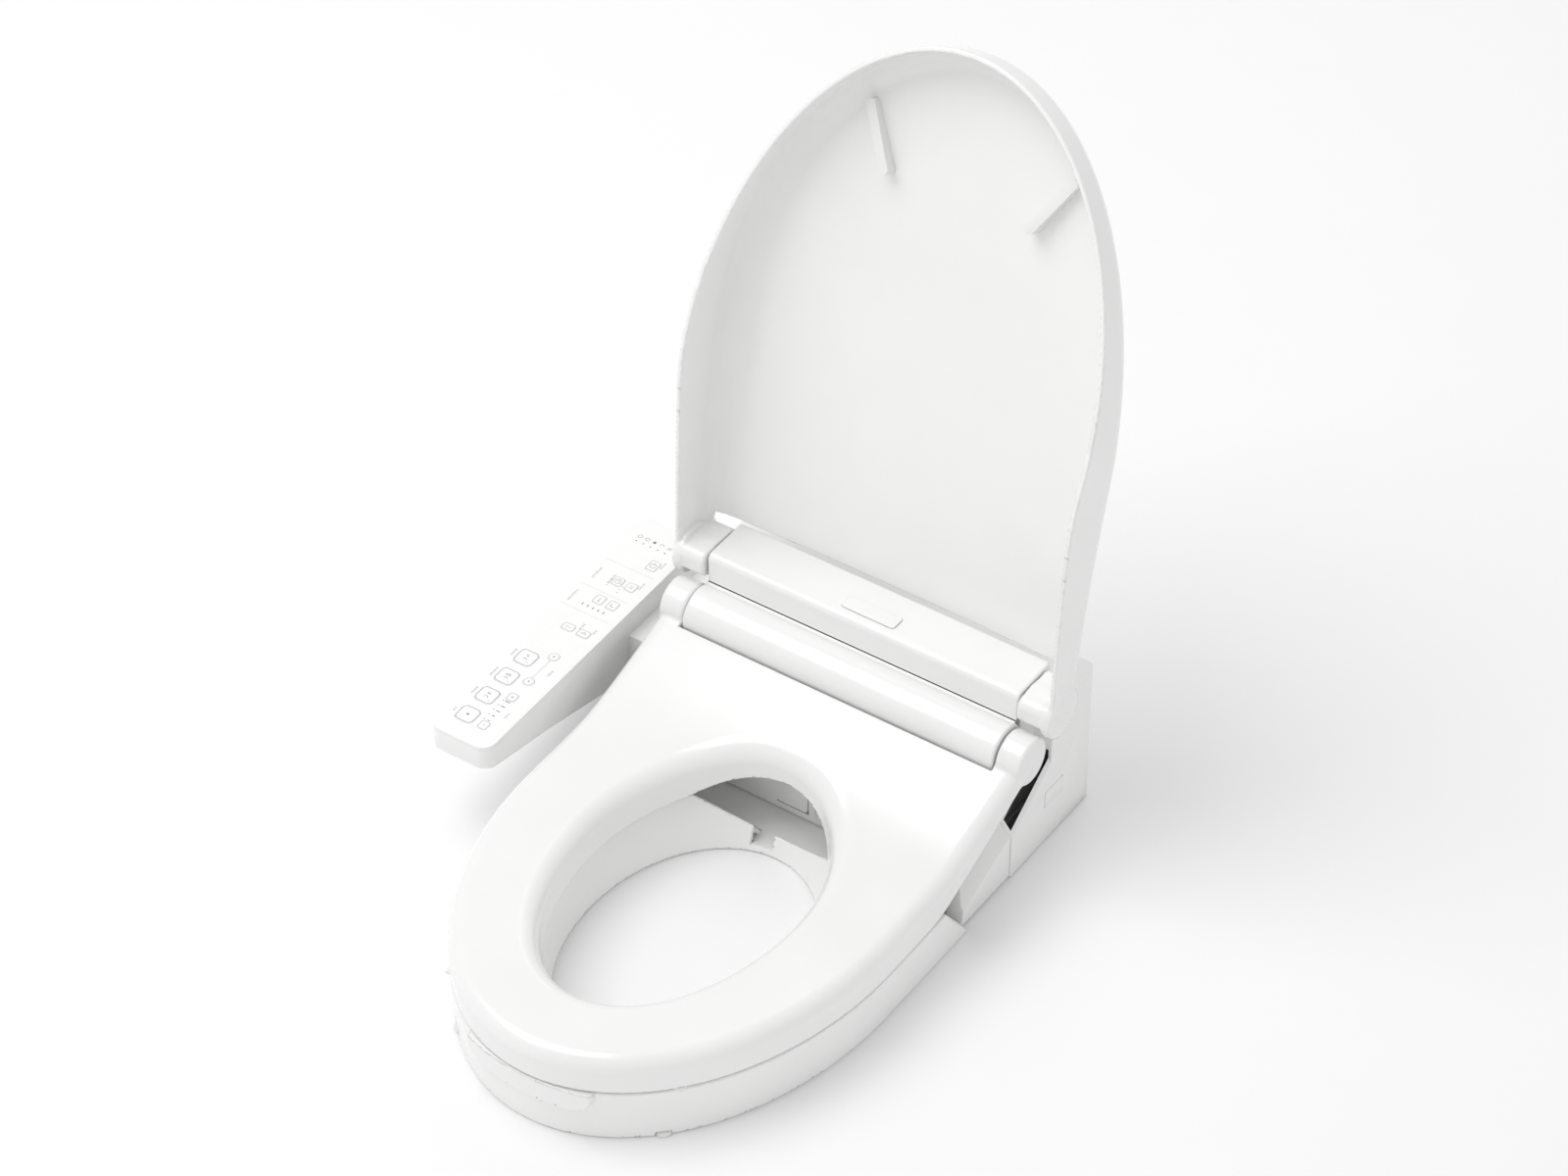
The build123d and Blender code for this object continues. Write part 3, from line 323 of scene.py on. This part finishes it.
def ring_field(x, y, z):
    """Raised ring: drafted outside, flaring opening, finger lip, notch for the wand, hollow underneath."""
    rise = z / RING_TOP
    draft = RING_TAPER * (1 - rise)
    outer = oval(x, y, PLAN["half"] - draft, PLAN["front"] + draft / 2, PLAN["middle"])
    opening = egg(x, y, 90 + 14 * rise, -384 - 20 * rise, -255, -131 + 16 * rise)
    end = ((y + 148) * 44 + (z - RING_TOP) * 34) / 55.6
    block = round_max(round_max(outer, z - RING_TOP, 1.5), -z, 1.0)
    block = round_max(block, end, 2.0)
    lip = round_max(np.maximum(oval(x, y, 210, -470.5, -225), y + 400),
                    round_max(np.abs(x) - 58, 30 - z, 18), 0.8)
    block = np.minimum(block, np.maximum(lip, z - RING_TOP))
    plate = round_max(slab(z, 0, PLATE_TOP), np.maximum(np.abs(x) - 140, slab(y, -144, 44)), 0.8)
    core = np.maximum(np.maximum(outer, z - RING_TOP), np.maximum(-opening, end)) + RING_WALL
    posts = np.min([np.hypot(x - px, y - py) for px, py in POSTS], axis=0) - POST_R
    core = np.maximum(core, -posts)
    block = np.maximum(block, -core)
    ring = round_max(np.minimum(block, plate), -opening, 2.0)
    bolts = np.hypot(np.abs(x) - BOLT_HALF_PITCH, y) - BOLT_R
    pads = np.maximum(posts + 3, z - 3)
    notch = np.maximum(np.abs(x - WAND_X) - 9, np.maximum(slab(y, -148, -110), PLATE_TOP - z))
    return np.maximum(ring, -np.minimum(np.minimum(bolts, pads), notch))


moulded("ring_shell", ring_field, (-176, -474, 0), (176, 46, 50), FINE, "shell_white", "housing",
        ("riser_ring",))

# lid, worked out closed and then swung open
LID_HINGE = (4.0, 150.0)
LID_SWING = 116.5
LID_PLAN = {"front": -484, "middle": -200}
LID_SKIN = 4.0
CROWN = np.polyfit((-494, -300, -120, 4), (97, 113, 150, 189), 3)


def lid_field(x, y, z):
    """Closed lid: domed skin with a broad edge radius, ears at the hinge and two boss blocks."""
    side = np.abs(x)
    half = 183 - 3 * np.clip((y + 200) / 204, 0, 1)
    outline = oval(x, y, half, **LID_PLAN)
    crown = (z - np.polyval(CROWN, y) + 8 * (x / 183) ** 2) * 0.97
    solid = round_max(outline, crown, 24)
    skin = np.maximum(solid, -(solid + LID_SKIN))
    rim = (bent_line(y, 53, -170, 24, 28) - z) * 0.95
    skin = round_max(skin, rim, 1.2)
    middle = round_max(skin, y + 26, 1.2)
    flank = round_max(np.maximum(skin, 171 - side), y - 4, 1.2)
    ear = round_max(disc_x(y, z, LID_HINGE, 22), np.abs(side - 176) - 4, 1.2)
    lid = round_min(np.minimum(middle, flank), ear, 1.5)
    turn = radians(-LID_SWING)
    open_y = LID_HINGE[0] + (y - LID_HINGE[0]) * cos(turn) - (z - LID_HINGE[1]) * sin(turn)
    open_z = LID_HINGE[1] + (y - LID_HINGE[0]) * sin(turn) + (z - LID_HINGE[1]) * cos(turn)
    block = round_max(slab(open_y, -17, 31), slab(open_z, 141, 165), 8)
    block = round_min(block, np.hypot(open_y - LID_HINGE[0], open_z - LID_HINGE[1]) - 15, 3)
    block = round_max(block, slab(side, 149.6, 178), 2)
    return round_min(lid, block, 2)


moulded("lid_skin", lid_field, (-186, -488, 48), (186, 34, 196), FINE, "shell_white", "lid",
        ("lid_shell",), turn=(LID_HINGE, -LID_SWING))


def cover_field(x, y, z):
    """Hinge cover: flat-topped hood behind, roll round the seat's hinge line in front."""
    hood = round_max(round_max(z - 166, -12.8 - y, 6), y - 35, 2)
    hood = np.maximum(hood, 139 - z)
    roll = disc_x(y, z, SEAT_HINGE, 22.5)
    outside = round_min(hood, roll, 5)
    under = (99.8 - z) * cos(radians(20.6)) + (y + 39.5) * sin(radians(20.6))
    outside = np.maximum(outside, under)
    outside = np.maximum(outside, np.where(y > -8, 141.1 - z, -5))
    shell = round_max(outside, np.abs(x) - 148, 1.8)
    hollow = np.maximum(outside + 2.5, np.abs(x) - 145)
    plate_seat = np.maximum(round_max(np.abs(x) - 25.4, np.abs(y - 4) - 7.9, 3.2), 165.4 - z)
    return np.maximum(np.maximum(shell, -hollow), -plate_seat)


moulded("cover_shell", cover_field, (-150, -52, 96), (150, 38, 168), 1.2,
        "shell_white", "housing", ("hinge_cover",))


# ---- smaller mouldings: the CAD shape with rounded edges ----------------------------------------------
EDGE_ANGLE = 30  # degrees; edges sharper than this are rounded


def softened(node, width):
    """Copy of a CAD node with every sharp edge rounded by width millimetres."""
    source = frame["nodes"][node]
    shape = bmesh.new()
    shape.from_mesh(source.data)
    bmesh.ops.remove_doubles(shape, verts=shape.verts, dist=1e-6)
    bmesh.ops.dissolve_limit(shape, angle_limit=radians(0.6), verts=shape.verts, edges=shape.edges)
    mesh = bpy.data.meshes.new(node + "_rounded")
    shape.to_mesh(mesh)
    shape.free()
    piece = bpy.data.objects.new(node + "_rounded", mesh)
    bpy.context.scene.collection.objects.link(piece)
    bevel = piece.modifiers.new("edges", "BEVEL")
    bevel.width = width * MM
    bevel.segments = 3
    bevel.limit_method = "ANGLE"
    bevel.angle_limit = radians(EDGE_ANGLE)
    bevel.harden_normals = True
    mesh.polygons.foreach_set("use_smooth", [True] * len(mesh.polygons))
    graph = bpy.context.evaluated_depsgraph_get()
    piece.data = bpy.data.meshes.new_from_object(piece.evaluated_get(graph))
    piece.modifiers.clear()
    piece.data.materials.clear()
    piece.data.materials.append(MATERIALS[slot_of[node]])
    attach(piece, source["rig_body"])
    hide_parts(node)
    return piece


EDGE_RADII = {
    "main_case": 1.2, "arm_cover_left": 1.0, "arm_cover_right": 1.0, "panel_case": 1.5, "panel_top": 0.7,
    "nozzle_flap": 0.5, "intake_grille": 0.3, "lid_buffers": 1.6, "release_button": 0.6, "drain_plug": 0.6,
    "inlet_fitting": 0.5, "cord_gland": 0.8, "lower_case": 0.6, "base_plate": 0.5, "brand_plate": 0.3,
}
for node, width in EDGE_RADII.items():
    softened(node, width)


# ---- printed legends on the control panel ----------------------------------------------------------
PANEL_TILT = 1.5
KEY_PROUD = 0.3
panel_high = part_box("panel_top")[1] / MM


class Print:
    """Flat printed shapes on the tilted panel, in panel millimetres."""

    def __init__(self):
        self.points, self.faces = [], []

    def ribbon(self, line, width, closed=False):
        """Stroke of constant width along a list of points."""
        line = np.array(line, float)
        ahead = np.roll(line, -1, 0) if closed else np.vstack([line[1:], 2 * line[-1:] - line[-2:-1]])
        behind = np.roll(line, 1, 0) if closed else np.vstack([2 * line[:1] - line[1:2], line[:-1]])
        along = ahead - behind
        along /= np.linalg.norm(along, axis=1)[:, None]
        across = np.stack([-along[:, 1], along[:, 0]], axis=1) * width / 2
        start, count = len(self.points), len(line)
        for middle, offset in zip(line, across):
            self.points += [middle - offset, middle + offset]
        for k in range(count if closed else count - 1):
            a, b = start + 2 * k, start + 2 * ((k + 1) % count)
            self.faces.append((a, b, b + 1, a + 1))

    def disc(self, x, y, radius, sides=16):
        """Filled dot."""
        start = len(self.points)
        for k in range(sides):
            turn = 2 * pi * k / sides
            self.points.append(np.array([x + radius * cos(turn), y + radius * sin(turn)]))
        self.faces.append(tuple(range(start, start + sides)))

    def ring(self, x, y, radius, width, sides=20, share=1.0):
        """Circle, or part of one."""
        count = sides if share == 1.0 else sides + 1
        line = [(x + radius * cos(2 * pi * share * k / sides), y + radius * sin(2 * pi * share * k / sides))
                for k in range(count)]
        self.ribbon(line, width, closed=share == 1.0)

    def frame(self, x, y, width, length, corner, line):
        """Rounded rectangle outline."""
        points = []
        for quarter, (sx, sy) in enumerate(((1, 1), (-1, 1), (-1, -1), (1, -1))):
            cx, cy = x + sx * (width / 2 - corner), y + sy * (length / 2 - corner)
            for step in range(6):
                turn = pi / 2 * (quarter + step / 5)
                points.append((cx + corner * cos(turn), cy + corner * sin(turn)))
        self.ribbon(points, line, closed=True)

    def words(self, x, y, length, height=2.0, seed=0):
        """Stand-in for a printed label: a row of short strokes that spell nothing."""
        pitch = height * 0.62
        for k in range(int(length / pitch)):
            along = y - length / 2 + (k + 0.5) * pitch
            rise = height * (0.5, 0.32, 0.42, 0.25)[(k * 3 + seed) % 4]
            self.ribbon([(x - rise, along), (x + rise, along)], 0.42)
            if (k + seed) % 3 == 0:
                level = x - 0.1 * height
                self.ribbon([(level, along - pitch / 3), (level, along + pitch / 3)], 0.32)

    def finish(self, name, material, body, lift):
        """Lay the shapes lift millimetres above the panel face."""
        rise = tan(radians(PANEL_TILT))
        place = [(p[0] * MM, p[1] * MM, (panel_high.z - (panel_high.y - p[1]) * rise + lift) * MM)
                 for p in self.points]
        mesh = bpy.data.meshes.new(name)
        mesh.from_pydata(place, [], self.faces)
        mesh.materials.append(MATERIALS[material])
        piece = bpy.data.objects.new(name, mesh)
        bpy.context.scene.collection.objects.link(piece)
        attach(piece, body)
        return piece


def key_place(key):
    """Middle and size of a key in millimetres."""
    low, high = (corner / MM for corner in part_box(key))
    return (low.x + high.x) / 2, (low.y + high.y) / 2, high.x - low.x, high.y - low.y


def spray(ink, x, y, jets, spread):
    """Fan of short strokes over an arc, for a washing key."""
    for k in range(jets):
        turn = (k - (jets - 1) / 2) * spread
        across, along = sin(turn), cos(turn)
        near = (x - 1.2 * across, y + 0.4 + 1.2 * along)
        far = (x - 3.4 * across, y + 0.4 + 3.4 * along)
        ink.ribbon([near, far], 0.5)
    ink.ring(x, y - 2.6, 1.7, 0.5, share=0.5)


LIFT = 0.04
for key, draw in (("stop_key", "dot"), ("rear_wash_key", 3), ("soft_wash_key", 5), ("front_wash_key", 2)):
    x, y, width, length = key_place(key)
    ink = Print()
    ink.frame(x, y, width - 1.2, length - 1.2, 3.6, 0.45)
    if draw == "dot":
        ink.ribbon([(x - 1.0, y), (x + 1.0, y)], 2.0)
    else:
        spray(ink, x, y, draw, 0.5)
        for back in (0, 1.6):
            ink.ribbon([(x + 3.2 + back, y - 5.2), (x + 3.2 + back, y - 4.2)], 0.35)
    ink.finish(key + "_print", "print_grey", key + "_body", KEY_PROUD + LIFT)

SIGNS = {
    "pressure_minus_key": [((-1.2, 0), (1.2, 0))],
    "pressure_plus_key": [((-1.2, 0), (1.2, 0)), ((0, -1.2), (0, 1.2))],
    "power_save_key": [((-2.2, -1), (-0.6, 1)), ((0.6, -1), (2.2, 1))],
    "nozzle_clean_key": [((-2.4, 0), (2.4, 0)), ((-1.2, 1.4), (1.2, 1.4))],
    "water_warmth_key": [((-1.2, -2), (1.2, -2)), ((0, -2), (0, 2))],
    "seat_warmth_key": [((-1.4, -1.6), (-1.4, 1.6)), ((-1.4, -1.6), (1.6, -1.6))],
    "timer_key": [((0, 0), (0, 2)), ((0, 0), (1.4, 0))],
    "deodoriser_key": [((-1.6, -1), (1.6, -1)), ((-1.6, 1), (1.6, 1))],
    "power_key": [((0, 0.4), (0, 2.6))],
}
for key, strokes in SIGNS.items():
    x, y, width, length = key_place(key)
    ink = Print()
    ink.frame(x, y, width - 0.8, length - 0.8, 1.6, 0.22)
    for start, end in strokes:
        ink.ribbon([(x + start[0], y + start[1]), (x + end[0], y + end[1])], 0.45)
    if key in ("timer_key", "power_key"):
        ink.ring(x, y, 2.6, 0.35)
    ink.finish(key + "_print", "print_grey", key + "_body", KEY_PROUD + LIFT)

for key in ("nozzle_back_key", "nozzle_forward_key"):
    x, y, _, _ = key_place(key)
    ink = Print()
    ink.ring(x, y, 3.8, 0.2)
    ink.disc(x, y, 0.8)
    ink.finish(key + "_print", "print_grey", key + "_body", KEY_PROUD + LIFT)

legends = Print()
lines = Print()
_, minus_y, _, _ = key_place("pressure_minus_key")
plus_x, plus_y, _, _ = key_place("pressure_plus_key")
for step in range(5):
    at = minus_y + (plus_y - minus_y) * (step + 1) / 6
    legends.ribbon([(plus_x - 1.0 - 0.35 * step, at), (plus_x + 1.0 + 0.35 * step, at)], 0.9)
    legends.disc(plus_x - 4.2, at, 0.55)
back_x, back_y, _, _ = key_place("nozzle_back_key")
ahead_x, ahead_y, _, _ = key_place("nozzle_forward_key")
for side in (-0.5, 0.5):
    lines.ribbon([(back_x + side, back_y + 5.2), (ahead_x + side, ahead_y - 5.2)], 0.3)
LABELS = [(-247.5, -221, 5, 0), (-247.5, -195, 10, 1), (-247.5, -169, 13, 2), (-247.5, -143, 9, 1),
          (-208, -205, 8, 1), (-208, -147, 8, 2), (-219, -88, 8, 0), (-206.5, -88, 7, 1),
          (-248, -61, 16, 2), (-247, -29, 16, 1), (-232.5, -29, 12, 0), (-206.5, -23, 9, 2), (-206, 6, 9, 1)]
for x, y, length, seed in LABELS:
    legends.words(x, y, length, 2.4, seed)
for step in range(5):
    legends.ribbon([(-235 + 5.2 * step, -67.4), (-235 + 5.2 * step, -64.6)], 0.9)
    legends.disc(-243 + 7.2 * step, 19.8, 0.7)
for step in range(3):
    legends.disc(-219.5, -40 + 4 * step, 0.5)
    legends.disc(-232, -37 + 4 * step, 0.45)
legends.ring(-243, 26, 1.9, 0.4)
legends.frame(-235.8, 26, 3.6, 3.0, 0.8, 0.4)
legends.disc(-228.6, 26, 1.5)
legends.ring(-221.4, 26, 1.8, 0.4, share=0.6)
for side in (-0.9, 0.4, 1.7):
    legends.ribbon([(-214.6 + side, 24.6), (-213.6 + side, 27.6)], 0.4)
for y, left in ((-74, -251), (-46, -251), (-11, -251)):
    lines.ribbon([(left, y), (-204, y)], 0.28)
legends.finish("panel_legends", "print_grey", "housing", LIFT)
lines.finish("panel_lines", "line_grey", "housing", LIFT)


# ---- studio -------------------------------------------------------------------------------------------
def area_light(name, place, aim, size, power):
    """Soft square light aimed at a point."""
    data = bpy.data.lights.new(name, "AREA")
    data.shape = "SQUARE"
    data.size = size
    data.energy = power
    light = bpy.data.objects.new(name, data)
    bpy.context.scene.collection.objects.link(light)
    light.location = place
    light.rotation_euler = (Vector(place) - Vector(aim)).to_track_quat("Z", "Y").to_euler()


floor_mesh = bpy.data.meshes.new("floor")
reach = 30.0
floor_mesh.from_pydata([(-reach, -reach, 0), (reach, -reach, 0), (reach, reach, 0), (-reach, reach, 0)], [],
                       [(0, 1, 2, 3)])
floor_mesh.materials.append(plastic("floor_white", (0.95, 0.95, 0.95), 0.9, 0.05, 4.0, mottle=0.005))
floor = bpy.data.objects.new("floor", floor_mesh)
floor.location.z = -0.0005
bpy.context.scene.collection.objects.link(floor)

area_light("key", (-1.2, -0.9, 3.2), (0, -0.1, 0.1), 2.4, 49)
area_light("back", (-0.6, 2.6, 2.6), (0, 0, 0.2), 2.0, 10)
area_light("fill", (2.8, -2.8, 1.6), (0, -0.1, 0.2), 2.6, 1)
world = bpy.data.worlds.new("studio")
world.use_nodes = True
world.node_tree.nodes["Background"].inputs["Color"].default_value = (1, 1, 1, 1)
world.node_tree.nodes["Background"].inputs["Strength"].default_value = 0.69
bpy.context.scene.world = world
bpy.context.scene.view_settings.view_transform = "Standard"
